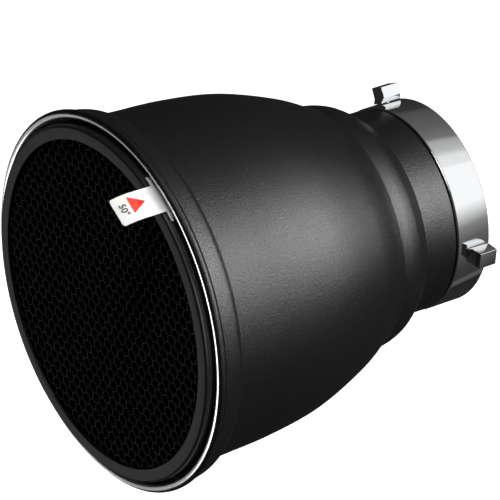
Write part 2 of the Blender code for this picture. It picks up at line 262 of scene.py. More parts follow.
def spun(name: str, axis: Axis, outline: Sequence[Point], zones: Sequence[int] = (),
         steps: int = ROUND_STEPS) -> bpy.types.Mesh:
    """Spins a closed outline round the axis.

    Args:
        name: The mesh's name.
        axis: The axis it is spun round.
        outline: Closed outline of radius and depth.
        zones: Which material each side of the outline takes; all take the first if empty.
        steps: Facets round the axis.

    Returns:
        A closed mesh.
    """
    bm = bmesh.new()
    columns = [[bm.verts.new(axis.point(360.0 * i / steps, *place)) for place in outline]
               for i in range(steps)]
    count = len(outline)
    for i, column in enumerate(columns):
        following = columns[(i + 1) % steps]
        for j in range(count):
            k = (j + 1) % count
            face = bm.faces.new((column[j], column[k], following[k], following[j]))
            face.material_index = zones[j] if zones else 0
    return mesh_of(bm, name)


def lathe(outline: Sequence[Point], sides: int) -> bmesh.types.BMesh:
    """Spins an open outline round local Z and caps both ends.

    Args:
        outline: Radius and height of each point, from one end to the other.
        sides: Facets round the axis.

    Returns:
        A closed shape.
    """
    bm = bmesh.new()
    rings = [[bm.verts.new((radius * cos(2 * pi * i / sides), radius * sin(2 * pi * i / sides), height))
              for i in range(sides)] for radius, height in outline]
    for low, high in zip(rings, rings[1:]):
        for i in range(sides):
            j = (i + 1) % sides
            bm.faces.new((low[i], low[j], high[j], high[i]))
    bm.faces.new(rings[0][::-1])
    bm.faces.new(rings[-1])
    return bm


def piece_from(name: str, mesh: bpy.types.Mesh, finishes: Sequence["Finish"], body: Body,
               nodes: Sequence[str]) -> bpy.types.Object:
    """Adds a piece to the scene, dresses it and fixes it to its body.

    Args:
        name: The piece's name.
        mesh: Its mesh, in world coordinates.
        finishes: One finish for each material index.
        body: The body that carries it.
        nodes: The CAD nodes that it stands for.

    Returns:
        The new object.
    """
    for finish in finishes:
        mesh.materials.append(finish.material())
    piece = bpy.data.objects.new(name, mesh)
    bpy.context.scene.collection.objects.link(piece)
    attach(piece, body.value)
    if nodes:
        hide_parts(*nodes)
    LOG.info("%s: %d faces on %s", name, len(mesh.polygons), body.value)
    return piece


# --------------------------------------------------------------------------- finishes

class Bench:
    """Adds and wires shader nodes in one node tree."""

    def __init__(self, tree: bpy.types.NodeTree) -> None:
        """Keeps the tree that is worked on."""
        self.tree = tree

    def add(self, kind: str, settings: dict | None = None, **inputs: object) -> bpy.types.Node:
        """Adds a node.

        Args:
            kind: The node type's name.
            settings: Values of the node's own properties.
            inputs: Socket names, with _ for a space, and a value or an output to wire in.

        Returns:
            The new node.
        """
        node = self.tree.nodes.new(kind)
        for key, value in (settings or {}).items():
            setattr(node, key, value)
        for key, value in inputs.items():
            socket = node.inputs[int(key[1:])] if key[1:].isdigit() else node.inputs[key.replace("_", " ")]
            if isinstance(value, bpy.types.NodeSocket):
                self.tree.links.new(value, socket)
            else:
                socket.default_value = value
        return node

    def object_place(self) -> bpy.types.NodeSocket:
        """Gives the place on the piece, in its own metres."""
        return self.add("ShaderNodeTexCoord").outputs["Object"]

    def noise(self, scale: float, detail: float = 2.0, rough: float = 0.5,
              place: bpy.types.NodeSocket | None = None) -> bpy.types.NodeSocket:
        """Adds a noise.

        Args:
            scale: Lumps per metre.
            detail: How many finer layers it has.
            rough: How strong the finer layers are.
            place: Where it is read; the place on the piece if left out.

        Returns:
            An output from 0 to 1.
        """
        node = self.add("ShaderNodeTexNoise", Vector=place or self.object_place(),
                        Scale=scale, Detail=detail, Roughness=rough)
        return node.outputs["Fac"]

    def spread(self, value: bpy.types.NodeSocket, low: float, high: float,
               start: float = 0.3, end: float = 0.7) -> bpy.types.NodeSocket:
        """Maps one range of a value to another.

        Args:
            value: What is mapped.
            low: What start becomes.
            high: What end becomes.
            start: First end of the value's range.
            end: Second end of it.

        Returns:
            The mapped output.
        """
        node = self.add("ShaderNodeMapRange", Value=value, From_Min=start, From_Max=end,
                        To_Min=low, To_Max=high)
        return node.outputs["Result"]

    def tint(self, value: bpy.types.NodeSocket, low: Sequence[float],
             high: Sequence[float]) -> bpy.types.NodeSocket:
        """Blends two colours by a value.

        Args:
            value: 0 for the first colour and 1 for the second.
            low: The first colour.
            high: The second colour.

        Returns:
            A colour output.
        """
        node = self.add("ShaderNodeMix", {"data_type": "RGBA"}, Factor=value)
        node.inputs[6].default_value = (*low, 1.0)
        node.inputs[7].default_value = (*high, 1.0)
        return node.outputs[2]

    def bump(self, height: bpy.types.NodeSocket, strength: float, depth: float,
             under: bpy.types.NodeSocket | None = None) -> bpy.types.NodeSocket:
        """Turns a height into a normal.

        Args:
            height: The height, from 0 to 1.
            strength: How much of it shows.
            depth: What a height of 1 stands for, in metres.
            under: Another normal that this one lies on.

        Returns:
            A normal output.
        """
        node = self.add("ShaderNodeBump", Height=height, Strength=strength, Distance=depth)
        if under is not None:
            self.tree.links.new(under, node.inputs["Normal"])
        return node.outputs["Normal"]

    def turning_place(self, across: float, along: float) -> bpy.types.NodeSocket:
        """Gives a place that changes fast across turning marks and slowly along them.

        Args:
            across: Scale of the distance from the axis and of the depth.
            along: Scale of the place round the axis.

        Returns:
            A vector output for a texture.
        """
        split = self.add("ShaderNodeSeparateXYZ", Vector=self.object_place())
        x, y, z = (split.outputs[i] for i in range(3))
        square = [self.add("ShaderNodeMath", {"operation": "MULTIPLY"}, _0=v, _1=v).outputs[0]
                  for v in (x, z)]
        total = self.add("ShaderNodeMath", {"operation": "ADD"}, _0=square[0], _1=square[1])
        radius = self.add("ShaderNodeMath", {"operation": "SQRT"}, _0=total.outputs[0])
        angle = self.add("ShaderNodeMath", {"operation": "ARCTAN2"}, _0=x, _1=z)
        sizes = (across, across, along)
        parts = [self.add("ShaderNodeMath", {"operation": "MULTIPLY"}, _0=v, _1=size).outputs[0]
                 for v, size in zip((radius.outputs[0], y, angle.outputs[0]), sizes)]
        joined = self.add("ShaderNodeCombineXYZ", X=parts[0], Y=parts[1], Z=parts[2])
        return joined.outputs[0]


@dataclass(frozen=True)
class Finish:
    """A surface finish; each kind adds its own grain in `grain`."""

    name: str
    colour: tuple[float, float, float]
    roughness: float
    metallic: float = 0.0
    ior: float = 1.5

    def material(self) -> bpy.types.Material:
        """Makes the material, or finds it if it is already made.

        Returns:
            The node material.
        """
        found = bpy.data.materials.get(self.name)
        if found:
            return found
        material = bpy.data.materials.new(self.name)
        material.use_nodes = True
        shader = material.node_tree.nodes["Principled BSDF"]
        shader.inputs["Base Color"].default_value = (*self.colour, 1.0)
        shader.inputs["Roughness"].default_value = self.roughness
        shader.inputs["Metallic"].default_value = self.metallic
        shader.inputs["IOR"].default_value = self.ior
        self.grain(Bench(material.node_tree), shader)
        return material

    def wire(self, bench: Bench, shader: bpy.types.Node, **sockets: bpy.types.NodeSocket) -> None:
        """Wires outputs into the shader's sockets.

        Args:
            bench: Where links are added.
            shader: The shader.
            sockets: Socket names, with _ for a space, and the outputs that go in.
        """
        for key, value in sockets.items():
            bench.tree.links.new(value, shader.inputs[key.replace("_", " ")])

    def shade(self, factor: float) -> tuple[float, float, float]:
        """Gives the colour made lighter or darker."""
        return tuple(min(c * factor, 1.0) for c in self.colour)

    def grain(self, bench: Bench, shader: bpy.types.Node) -> None:
        """Adds a faint unevenness in colour and gloss.

        Args:
            bench: Where nodes are added.
            shader: The material's Principled shader.
        """
        cloud = bench.noise(60.0, 3.0)
        self.wire(bench, shader, Base_Color=bench.tint(cloud, self.shade(0.92), self.shade(1.08)),
                  Roughness=bench.spread(cloud, self.roughness * 0.93, self.roughness * 1.07))


@dataclass(frozen=True)
class PowderCoat(Finish):
    """Baked powder: a fine pebble grain that glints inside a highlight."""

    pebble: float = 1500.0
    pebble_height: float = 0.0003
    shine: float = 0.30            # strength of the reflection that isn't metal

    def grain(self, bench: Bench, shader: bpy.types.Node) -> None:
        """Adds the pebbles, a finer sparkle and a slow drift in gloss.

        Args:
            bench: Where nodes are added.
            shader: The material's Principled shader.
        """
        pebbles = bench.noise(self.pebble, 2.0, 0.65)
        sparkle = bench.noise(self.pebble * 2.3, 1.0)
        drift = bench.noise(22.0, 2.0)
        normal = bench.bump(pebbles, 0.7, self.pebble_height)
        shader.inputs["Specular IOR Level"].default_value = self.shine
        self.wire(
            bench, shader, Normal=bench.bump(sparkle, 0.3, self.pebble_height * 0.4, normal),
            Base_Color=bench.tint(drift, self.shade(0.85), self.shade(1.15)),
            Roughness=bench.spread(sparkle, self.roughness * 0.8, self.roughness * 1.2))


@dataclass(frozen=True)
class TurnedMetal(Finish):
    """Metal with the fine rings that turning or spinning leaves."""

    ring_scale: float = 2600.0
    ring_height: float = 0.00001

    def grain(self, bench: Bench, shader: bpy.types.Node) -> None:
        """Adds the rings as bump and as changes in gloss and colour.

        Args:
            bench: Where nodes are added.
            shader: The material's Principled shader.
        """
        rings = bench.noise(1.0, 3.0, 0.6, bench.turning_place(self.ring_scale, 3.0))
        self.wire(
            bench, shader, Normal=bench.bump(rings, 0.5, self.ring_height),
            Base_Color=bench.tint(rings, self.shade(0.9), self.shade(1.1)),
            Roughness=bench.spread(rings, self.roughness * 0.8, self.roughness * 1.2))


@dataclass(frozen=True)
class Plating(Finish):
    """Bright plate: almost even, with a faint orange peel and handling marks."""

    def grain(self, bench: Bench, shader: bpy.types.Node) -> None:
        """Adds the peel and the marks.

        Args:
            bench: Where nodes are added.
            shader: The material's Principled shader.
        """
        peel = bench.noise(420.0, 1.0)
        marks = bench.noise(95.0, 4.0, 0.7)
        self.wire(
            bench, shader, Normal=bench.bump(peel, 0.12, 0.00001),
            Base_Color=bench.tint(marks, self.shade(0.97), self.shade(1.02)),
            Roughness=bench.spread(marks, self.roughness * 0.7, self.roughness * 1.5))


@dataclass(frozen=True)
class Film(Finish):
    """Polyester film: smooth, with a faint coating texture."""

    def grain(self, bench: Bench, shader: bpy.types.Node) -> None:
        """Adds the coating's texture and a slight mottle.

        Args:
            bench: Where nodes are added.
            shader: The material's Principled shader.
        """
        coat = bench.noise(2400.0, 2.0)
        mottle = bench.noise(260.0, 3.0)
        self.wire(
            bench, shader, Normal=bench.bump(coat, 0.15, 0.00001),
            Base_Color=bench.tint(mottle, self.shade(0.975), self.shade(1.01)),
            Roughness=bench.spread(mottle, self.roughness * 0.9, self.roughness * 1.1))


@dataclass(frozen=True)
class StudioPaint(Finish):
    """White floor paint, lit evenly from within so that it stays pale."""

    glow: float = 0.9

    def grain(self, bench: Bench, shader: bpy.types.Node) -> None:
        """Adds the glow and a very faint roller texture.

        Args:
            bench: Where nodes are added.
            shader: The material's Principled shader.
        """
        shader.inputs["Emission Color"].default_value = (*self.colour, 1.0)
        shader.inputs["Emission Strength"].default_value = self.glow
        roller = bench.noise(30.0, 2.0)
        self.wire(bench, shader, Base_Color=bench.tint(roller, self.shade(0.99), self.colour))


OUTSIDE_COAT = PowderCoat("black powder coat", (0.0045, 0.0045, 0.005), 0.31, 0.0, 1.58)
RIM_METAL = TurnedMetal("polished rim bead", (0.62, 0.63, 0.64), 0.20, 1.0)
INSIDE_METAL = TurnedMetal("silver inside", (0.80, 0.80, 0.79), 0.28, 1.0, ring_scale=1500.0)
CHROME = Plating("chrome plate", (0.80, 0.81, 0.82), 0.045, 1.0)
FRAME_PAINT = TurnedMetal("satin black frame", (0.013, 0.015, 0.015), 0.38, 0.0)
FOIL = Finish("black foil", (0.016, 0.016, 0.016), 0.36)
FOIL_EDGE = Finish("cut foil edge", (0.12, 0.12, 0.12), 0.5, 0.2)
ZINC = Plating("zinc plate", (0.55, 0.55, 0.54), 0.30, 1.0)
SPRING_STEEL = TurnedMetal("spring steel", (0.42, 0.43, 0.45), 0.26, 1.0)
WHITE_FILM = Film("white film", (0.83, 0.83, 0.81), 0.38)
RED_INK = Film("red ink", (0.90, 0.045, 0.026), 0.42)
BLACK_INK = Film("black ink", (0.012, 0.012, 0.012), 0.45)
FLOOR_PAINT = StudioPaint("pale floor", (0.93, 0.93, 0.93), 0.8)


# --------------------------------------------------------------------------- the reflector

@dataclass
class SpunShell:
    """The spun aluminium dish: a rolled bead, a collar, the bowl, a rib and the neck."""

    axis: Axis
    length: float                  # rim crest to the ring's rear face
    ring_width: float
    wall: float = 0.0012
    bead_radius: float = 0.0022
    bead_centre: float = 0.0869
    bare_from: float = 64.0        # the bead is bare metal from here inwards, in degrees
    neck_radius: float = 0.0489
    sleeve_radius: float = 0.0470
    throat_radius: float = 0.0415
    gap: float = GAP
    flange: float = 0.0025         # rear wall of the ring, which the shell stops in front of
    bowl: tuple[Point, ...] = (
        (0.0819, 0.0178), (0.0813, 0.0320), (0.0802, 0.0546), (0.0766, 0.0801),
        (0.0682, 0.1055), (0.0611, 0.1196), (0.0594, 0.1232))
    rib: tuple[Point, ...] = (
        (0.0591, 0.1243), (0.0591, 0.1256), (0.0588, 0.1285), (0.0581, 0.1315),
        (0.0571, 0.1343), (0.0558, 0.1366), (0.0545, 0.1386), (0.0534, 0.1401),
        (0.0527, 0.1411), (0.0519, 0.1418))
    collar: tuple[Point, ...] = (
        (0.0881, 0.0044), (0.0877, 0.0070), (0.0872, 0.0100), (0.0865, 0.0126),
        (0.0851, 0.0145), (0.0830, 0.0158))

    def sleeve_bore(self) -> float:
        """Gives the inner radius of the sleeve that the ring sits on."""
        return self.sleeve_radius - self.wall

    def painted_side(self) -> list[Point]:
        """Draws the outside.

        Returns:
            The outline from the bead's groove to the rear end of the sleeve.
        """
        step = self.length - self.ring_width - 3 * self.gap
        sleeve = step + 2 * self.gap
        end = self.length - self.flange - self.gap
        return [
            *flowing(self.collar, 5), (0.0823, 0.0163), (0.08192, 0.0168),
            *flowing(self.bowl, 10), *flowing(self.rib, 4),
            (0.0508, 0.1421), (0.0497, 0.14225), (0.0491, 0.1427), (self.neck_radius, 0.1434),
            (self.neck_radius, 0.1520), (self.neck_radius, step - 0.0004),
            (self.neck_radius - 0.0004, step), (self.sleeve_radius + 0.0004, step + 0.0002),
            (self.sleeve_radius, sleeve), (self.sleeve_radius, end)]

    def bare_side(self) -> list[Point]:
        """Draws the inside.

        Returns:
            The outline from the throat forwards to the bead.
        """
        end = self.length - self.flange - self.gap
        step = self.length - self.ring_width
        skin = set_in([*flowing(self.bowl, 10), *flowing(self.rib, 4)], self.wall)
        skin = [(radius, depth - 0.0002) for radius, depth in skin]
        seat = [(0.0807, 0.0170), (0.0815, 0.0148), (0.0850, 0.0134), (0.0862, 0.0118),
                (0.0862, 0.0048), (0.0855, 0.0034)]
        rear = [(self.throat_radius, end), (self.throat_radius, end - self.wall),
                (self.sleeve_bore(), end - self.wall),
                (self.sleeve_bore(), step - 0.0010),
                (self.neck_radius - self.wall, step - 0.0020),
                (self.neck_radius - self.wall, 0.1426)]
        return rear + skin[::-1] + seat

    def build(self) -> bpy.types.Object:
        """Makes the shell, painted outside and bare inside.

        Returns:
            The shell.
        """
        bead = (self.bead_centre, self.bead_radius)
        painted_bead = arc(bead, self.bead_radius, -self.bare_from, 62.0, 14)
        bare_bead = arc(bead, self.bead_radius, -168.0, -self.bare_from, 14)[:-1]
        painted, bare = self.painted_side(), self.bare_side()
        outline = [*painted_bead, *painted, *bare, *bare_bead]
        zones = ([0] * (len(painted_bead) + len(painted) - 1) + [1] * len(bare)
                 + [2] * (len(bare_bead) + 1))
        mesh = spun("spun_shell", self.axis, outline, zones)
        return piece_from("spun_shell", mesh, (OUTSIDE_COAT, INSIDE_METAL, RIM_METAL),
                          Body.REFLECTOR, ["reflector_shell"])


@dataclass
class BayonetRing:
    """The chrome ring with its rear flange, three lugs and their screws."""

    axis: Axis
    length: float
    outer: float
    width: float
    lug_angles: Sequence[float]
    sleeve_bore: float             # inner radius of the shell's sleeve, where lug screws start
    wall: float = 0.00195
    flange: float = 0.0025
    throat: float = 0.0415
    lug_top: float = 0.0572
    lug_shoulder: float = 0.0517
    lug_head: float = 0.0080
    lug_foot: float = 0.0068
    lug_length: float = 0.0097
    lug_round: float = 0.00028
    foot_reach: float = 0.0015     # how far a lug's foot runs on forwards under its head
    rear_inset: float = 0.0016
    screw_shift: float = 0.0010
    lug_screw: tuple[float, float, float] = (0.0024, 0.0012, 0.0015)   # head, its height, shank
    lug_screw_tip: float = 0.0546
    ring_screw: tuple[float, float, float] = (0.0018, 0.0012, 0.0010)
    ring_screw_circle: float = 0.0436
    shell_flange: float = 0.0012   # the shell's inward flange, under the ring screws' heads
    gap: float = GAP

    def build(self) -> None:
        """Makes the ring, the lugs and both kinds of screw."""
        self.ring()
        middle = self.length - self.rear_inset - self.lug_length / 2
        inside = self.sleeve_bore - self.gap
        for number, angle in enumerate(self.lug_angles, 1):
            lug = self.lug_mesh()
            lug.transform(self.axis.seat(angle, 0.0, middle))
            piece_from(f"lug_{number}", lug, (CHROME,), Body.REFLECTOR,
                       [f"bayonet_lug_{number}"])
            screw = self.pan_screw(*self.lug_screw, self.lug_screw_tip - inside)
            seat = self.axis.seat(angle, inside, middle - self.screw_shift)
            screw.transform(seat @ Matrix.Rotation(radians(90.0), 4, "Y"))
            piece_from(f"lug_fixing_{number}", screw, (ZINC,), Body.REFLECTOR,
                       [f"lug_screw_{number}"])
        head = self.length - self.flange - 2 * self.gap - self.shell_flange
        halfway = 180.0 / len(self.lug_angles)
        for number, angle in enumerate(self.lug_angles, 1):
            screw = self.pan_screw(*self.ring_screw, self.length - head - self.gap)
            spin = Matrix.Rotation(radians(-90.0), 4, "X")
            screw.transform(self.flange_seat(angle + halfway, head) @ spin)
            piece_from(f"ring_fixing_{number}", screw, (ZINC,), Body.REFLECTOR,
                       [f"ring_screw_{number}"])

    def flange_seat(self, angle: float, depth: float) -> Matrix:
        """Gives the world place of a ring screw, with the world's own directions."""
        return Matrix.Translation(self.axis.point(angle, self.ring_screw_circle, depth))

    def ring(self) -> None:
        """Makes the ring itself."""
        front = self.length - self.width
        bore = self.outer - self.wall
        flange = self.length - self.flange
        outline = eased([
            (self.outer, self.length, 0.0005), (self.outer, front, 0.0007),
            (bore, front, 0.0003), (bore, flange, 0.0002), (self.throat, flange, 0.0003),
            (self.throat, self.length, 0.0004)])
        mesh = spun("ring", self.axis, outline)
        piece_from("bayonet_ring_plated", mesh, (CHROME,), Body.REFLECTOR,
                   ["bayonet_ring"])

    def lug_mesh(self) -> bpy.types.Mesh:
        """Makes a lug whose foot widens outwards to a square head, with eased edges.

        Returns:
            The mesh, with X away from the axis and Z to the rear.
        """
        bm = bmesh.new()
        low = self.outer + self.gap
        for vert in bmesh.ops.create_cube(bm, size=1.0)["verts"]:
            vert.co = (self.lug_top if vert.co.x > 0 else self.lug_shoulder,
                       vert.co.y * self.lug_head, vert.co.z * self.lug_length)
        foot = min(bm.faces, key=lambda face: face.calc_center_median().x)
        grown = bmesh.ops.extrude_discrete_faces(bm, faces=[foot])["faces"][0]
        for vert in grown.verts:
            vert.co.x = low
            vert.co.y *= self.lug_foot / self.lug_head
            if vert.co.z < 0:
                vert.co.z -= self.foot_reach
        bmesh.ops.bevel(bm, geom=list(bm.edges), offset=self.lug_round, segments=3, profile=0.5,
                        affect="EDGES", clamp_overlap=True)
        return mesh_of(bm, "lug", 60.0)

    def pan_screw(self, head: float, height: float, shank: float,
                  reach: float) -> bpy.types.Mesh:
        """Makes a pan-head screw with a cross recess.

        Args:
            head: The head's radius.
            height: The head's height.
            shank: The shank's radius.
            reach: The shank's length.

        Returns:
            A mesh with its seat at the origin and its shank along +Z.
        """
        dome = [(head * 0.62, -height), (head * 0.84, -height * 0.93), (head * 0.96, -height * 0.7),
                (head, -height * 0.35), (head, -0.0001), (head - 0.0001, 0.0), (shank, 0.0)]
        pitch, cut = 0.0005, 0.00012
        threads = int(reach / pitch)
        thread = [(shank - cut * (i % 2), reach * (i + 1) / (threads + 2)) for i in range(threads)]
        tip = [(shank, reach - 0.0003), (shank - 0.0003, reach)]
        bm = lathe([*dome, *thread, *tip], 32)
        mesh = mesh_of(bm, "screw")
        cutter = bmesh.new()
        for turn in (0.0, 90.0):
            arm = Matrix.Translation((0.0, 0.0, -height)) @ Matrix.Rotation(radians(turn), 4, "Z")
            size = Matrix.Diagonal((head * 1.1, head * 0.24, height * 1.1, 1.0))
            bmesh.ops.create_cube(cutter, size=1.0, matrix=arm @ size)
        return difference(mesh, mesh_of(cutter, "recess"))


def difference(mesh: bpy.types.Mesh, cutter: bpy.types.Mesh) -> bpy.types.Mesh:
    """Cuts one closed mesh out of another.

    Args:
        mesh: What is cut.
        cutter: What is taken away.

    Returns:
        The new mesh; the two helpers are removed.
    """
    body = bpy.data.objects.new("blank", mesh)
    tool = bpy.data.objects.new("tool", cutter)
    for helper in (body, tool):
        bpy.context.scene.collection.objects.link(helper)
    cut = body.modifiers.new("cut", "BOOLEAN")
    cut.object = tool
    cut.operation = "DIFFERENCE"
    cut.solver = "EXACT"
    cut.use_self = True
    result = bpy.data.meshes.new_from_object(
        body.evaluated_get(bpy.context.evaluated_depsgraph_get()))
    for helper in (body, tool):
        bpy.data.objects.remove(helper)
    result.shade_smooth()
    result.set_sharp_from_angle(angle=radians(CRISP))
    return result


# --------------------------------------------------------------------------- the grid

@dataclass
class GridFrame:
    """The flanged front frame and the ring that closes it from behind."""

    axis: Axis
    front: float                   # depth of the front face, negative in front of the rim
    rear: float                    # depth of the band's rear edge
    outer: float
    window: float = 0.0766
    flange: float = 0.0010
    band: float = 0.0010
    rear_outer: float = 0.0846
    rear_window: float = 0.0764
    rear_flange: float = 0.0012
    lip: float = 0.0011
    lip_start: float = 0.0050
    groove_back: float = 0.0019    # the turned groove's distance behind the front face
    groove_half: float = 0.0003
    groove_depth: float = 0.00018
    front_round: float = 0.0014
    rivet_tuck: float = 0.0001     # how far short of the lip's bore the rivets end
    gap: float = GAP

    def lip_middle(self) -> float:
        """Gives the depth of the middle of the rear ring's lip, which the rivets go through."""
        return (self.lip_start + self.rear) / 2

    def rivet_tip(self) -> float:
        """Gives the radius where the rivets end, inside the rear ring's lip."""
        return self.outer - self.band - self.gap - self.lip + self.rivet_tuck

    def build(self) -> None:
        """Makes both turned pieces."""
        inner = self.outer - self.band
        groove = self.front + self.groove_back
        outline = eased([
            (self.outer, self.rear, 0.0002), (self.outer, groove + self.groove_half, 0.0001),
            (self.outer - self.groove_depth, groove, 0.0001),
            (self.outer, groove - self.groove_half, 0.0001),
            (self.outer, self.front, self.front_round), (self.window, self.front, 0.0004),
            (self.window, self.front + self.flange, 0.0002),
            (inner, self.front + self.flange, 0.0002), (inner, self.rear, 0.0002)])
        piece_from("front_frame", spun("front_frame", self.axis, outline), (FRAME_PAINT,),
                   Body.GRID, ["grid_front_frame"])
        start = self.rear + self.gap
        end = start + self.rear_flange
        lip = inner - self.gap
        outline = eased([
            (self.rear_outer, end, 0.0003), (self.rear_outer, start, 0.0003),
            (lip, start, 0.0001), (lip, self.lip_start, 0.0003),
            (lip - self.lip, self.lip_start, 0.0003), (lip - self.lip, start, 0.0001),
            (self.rear_window, start, 0.0003), (self.rear_window, end, 0.0003)])
        piece_from("rear_ring", spun("rear_ring", self.axis, outline), (FRAME_PAINT,),
                   Body.GRID, ["grid_rear_ring"])


@dataclass
class HoneycombCore:
    """The expanded foil honeycomb: six-sided cells, with the glued walls twice as thick."""

    axis: Axis
    front: float
    rear: float
    radius: float
    pitch: float = 0.0054
    foil: float = 0.00012
    turn: float = -2.5             # degrees that the rows lean from level
    wander: float = 0.00012        # how far a corner strays from its true place
    seed: int = 7
    edge: float = 0.0005           # solid foil left round the outside
    smallest: float = 4e-7         # a cut-off cell with less area than this is left closed
    snap: float = 0.0001           # corners nearer to each other than this are one corner
    rim_steps: int = 180

    def cells(self) -> list[list[Vector]]:
        """Lays out the cells.

        Returns:
            Every cell's inner outline, cut off at the core's edge.
        """
        row_step = self.pitch * sqrt(3) / 2
        reach = int(self.radius / row_step) + 2
        spin = Matrix.Rotation(radians(self.turn), 2)
        chance = random.Random(self.seed)
        corners: dict[tuple[int, int], Vector] = {}
        limit = self.radius - self.edge
        found = []
        for row in range(-reach, reach + 1):
            for column in range(-reach - 2, reach + 3):
                centre = Vector(((column + 0.5 * (row % 2)) * self.pitch, row * row_step))
                if centre.length > self.radius + self.pitch:
                    continue
                outline = []
                for i in range(6):
                    bearing = radians(30.0 + 60.0 * i)
                    place = centre + Vector((cos(bearing), sin(bearing))) * self.pitch / sqrt(3)
                    key = (round(place.x / self.snap), round(place.y / self.snap))
                    if key not in corners:
                        stray = Vector((chance.gauss(0, 1), chance.gauss(0, 1))) * self.wander
                        corners[key] = place + stray
                    outline.append(corners[key])
                cell = self.clipped(self.walled(outline), limit)
                if len(cell) > 2 and self.area(cell) > self.smallest:
                    found.append([spin @ place for place in cell])
        return found

    def walled(self, outline: list[Vector]) -> list[Vector]:
        """Moves a cell's sides in by the foil, which is double on the upright sides.

        Args:
            outline: The six corners where the foils' middles meet.

        Returns:
            The six corners of the open cell.
        """
        lines = []
        for i, here in enumerate(outline):
            there = outline[(i + 1) % 6]
            run = (there - here).normalized()
            upright = abs(run.y) > 0.9
            inward = Vector((-run.y, run.x)) * self.foil * (1.0 if upright else 0.5)
            lines.append((here + inward, run))
        inner = []
        for (a, run_a), (b, run_b) in zip([lines[-1], *lines], lines):
            cross = run_a.x * run_b.y - run_a.y * run_b.x
            step = ((b.x - a.x) * run_b.y - (b.y - a.y) * run_b.x) / cross
            inner.append(a + run_a * step)
        return inner

    @staticmethod
    def area(outline: list[Vector]) -> float:
        """Gives an outline's area."""
        pairs = zip(outline, [*outline[1:], outline[0]])
        return abs(sum(a.x * b.y - a.y * b.x for a, b in pairs)) / 2

    @staticmethod
    def clipped(outline: list[Vector], limit: float) -> list[Vector]:
        """Keeps the part of a cell inside the core's edge.

        Args:
            outline: The cell's corners.
            limit: Radius of the edge.

        Returns:
            The corners left, with the edge's arc between them.
        """
        if all(place.length <= limit for place in outline):
            return outline
        kept = []
        for here, there in zip(outline, [*outline[1:], outline[0]]):
            if here.length <= limit:
                kept.append(here)
            if (here.length <= limit) != (there.length <= limit):
                low, high = (here, there) if here.length <= limit else (there, here)
                for _ in range(24):
                    middle = (low + high) / 2
                    low, high = (middle, high) if middle.length <= limit else (low, middle)
                kept.append(low)
        return kept

    def build(self) -> bpy.types.Object:
        """Makes the core: edges at both faces and a wall round every cell.

        Returns:
            The core.
        """
        cells = self.cells()
        turns = [2 * pi * i / self.rim_steps for i in range(self.rim_steps)]
        places = [Vector((cos(turn), sin(turn))) * self.radius for turn in turns]
        loops = [list(range(self.rim_steps))]
        for cell in cells:
            loops.append(list(range(len(places), len(places) + len(cell))))
            places += cell
        edges = [(a, b) for loop in loops for a, b in zip(loop, [*loop[1:], loop[0]])]
        flat = delaunay_2d_cdt(places, edges, [], 0, 1e-9)
        points, triangles, sources = flat[0], flat[2], flat[3]
        where = {old: new for new, olds in enumerate(sources) for old in olds}
        in_foil = self.foil_test([[where[i] for i in loop] for loop in loops[1:]])
        bm = bmesh.new()
        faces = [[bm.verts.new((p.x, self.axis.crest_y + depth, p.y)) for p in points]
                 for depth in (self.front, self.rear)]
        for triangle in triangles:
            if in_foil(triangle):
                for side in faces:
                    bm.faces.new([side[i] for i in triangle]).material_index = 1
        for loop in loops:
            ring = [where[i] for i in loop]
            for a, b in zip(ring, [*ring[1:], ring[0]]):
                bm.faces.new((faces[0][a], faces[0][b], faces[1][b], faces[1][a]))
        mesh = mesh_of(bm, "foil_core", 30.0)
        return piece_from("foil_core", mesh, (FOIL, FOIL_EDGE), Body.GRID,
                          ["honeycomb_core"])

    @staticmethod
    def foil_test(rings: list[list[int]]) -> Callable[[Sequence[int]], bool]:
        """Makes the test for a triangle that lies in the foil and not in a cell.

        Args:
            rings: The numbers of the points round each cell.

        Returns:
            A function that takes a triangle's three point numbers.
        """
        owner = {number: index for index, ring in enumerate(rings) for number in ring}

        def in_foil(triangle: Sequence[int]) -> bool:
            """Tells whether the triangle's corners are not all on one cell."""
            owners = {owner.get(number, -1 - number) for number in triangle}
            return len(owners) > 1

        return in_foil


